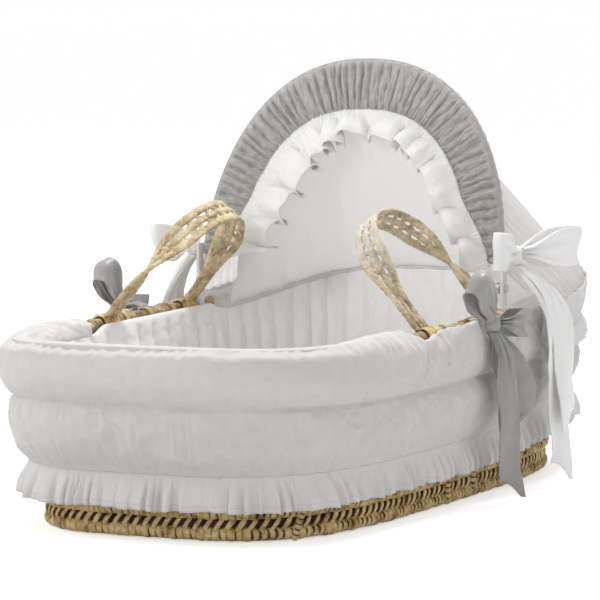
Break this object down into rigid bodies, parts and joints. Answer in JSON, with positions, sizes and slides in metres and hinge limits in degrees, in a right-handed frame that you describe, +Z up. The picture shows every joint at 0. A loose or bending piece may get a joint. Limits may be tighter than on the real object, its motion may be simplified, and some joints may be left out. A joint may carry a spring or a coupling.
{
  "type": "moses basket",
  "caption": "Woven Moses basket with padded skirt, ruffle, swinging plaited handles, ribbon bows and a folding hood with a ruched front band.",
  "frame": {"origin": "middle of the underside, on the surface that the basket stands on", "axes": "+Z up, +Y from the foot end to the hooded head end, +X towards the side nearer the viewer"},
  "size_m": [0.5416, 0.8738, 0.5127],
  "materials": {
    "straw": "matt plaited palm leaf",
    "white_cotton": "soft woven cotton",
    "white_padding": "wadded cotton",
    "foam": "covered foam",
    "grey_satin": "satin",
    "white_satin": "satin",
    "steel": "drawn wire",
    "white_plastic": "moulded"
  },
  "bodies": {
    "basket": {"base_mat": "straw", "wall_course_1": "straw", "wall_course_2": "straw", "wall_course_3": "straw", "wall_course_4": "straw", "wall_course_5": "straw", "wall_course_6": "straw", "wall_course_7": "straw", "wall_course_8": "straw", "rim_border_foot": "straw", "rim_border_head": "straw", "mattress": "foam", "padded_liner": "white_padding", "outer_skirt": "white_padding", "edge_roll_foot": "white_padding", "edge_roll_head": "white_padding", "skirt_ruffle": "white_cotton", "hood_canopy": "white_cotton", "hood_lining": "white_cotton", "hood_valance": "white_cotton", "hood_elastic": "white_cotton", "side_bar_near": "straw", "bar_lashings_near": "straw", "pivot_clip_near": "white_plastic", "pivot_pin_near": "steel", "grey_bow_near": "grey_satin", "grey_tails_near": "grey_satin", "white_bow_near": "white_satin", "white_tails_near": "white_satin", "side_bar_far": "straw", "bar_lashings_far": "straw", "pivot_clip_far": "white_plastic", "pivot_pin_far": "steel", "grey_bow_far": "grey_satin", "grey_tails_far": "grey_satin", "white_bow_far": "white_satin", "white_tails_far": "white_satin"},
    "hood": {"hood_hoop": "steel", "ruched_band": "grey_satin", "inner_frill": "white_cotton", "hoop_eye_near": "steel", "hoop_eye_far": "steel"},
    "handle_near": {"handle_strap_near": "straw", "handle_loops_near": "straw"},
    "handle_far": {"handle_strap_far": "straw", "handle_loops_far": "straw"}
  },
  "joints": [
    {"name": "hood_fold", "type": "hinge", "parent": "basket", "child": "hood", "pos_m": [0, 0.123, 0.242], "axis": [-1, 0, 0], "range_deg": [0, 60], "deforming": ["hood_canopy", "hood_lining"]},
    {"name": "near_handle_swing", "type": "hinge", "parent": "basket", "child": "handle_near", "pos_m": [0.218, -0.002, 0.2073], "axis": [0, 1, 0], "range_deg": [-30, 30]},
    {"name": "far_handle_swing", "type": "hinge", "parent": "basket", "child": "handle_far", "pos_m": [-0.218, -0.002, 0.2073], "axis": [0, -1, 0], "range_deg": [-30, 30]}
  ]
}
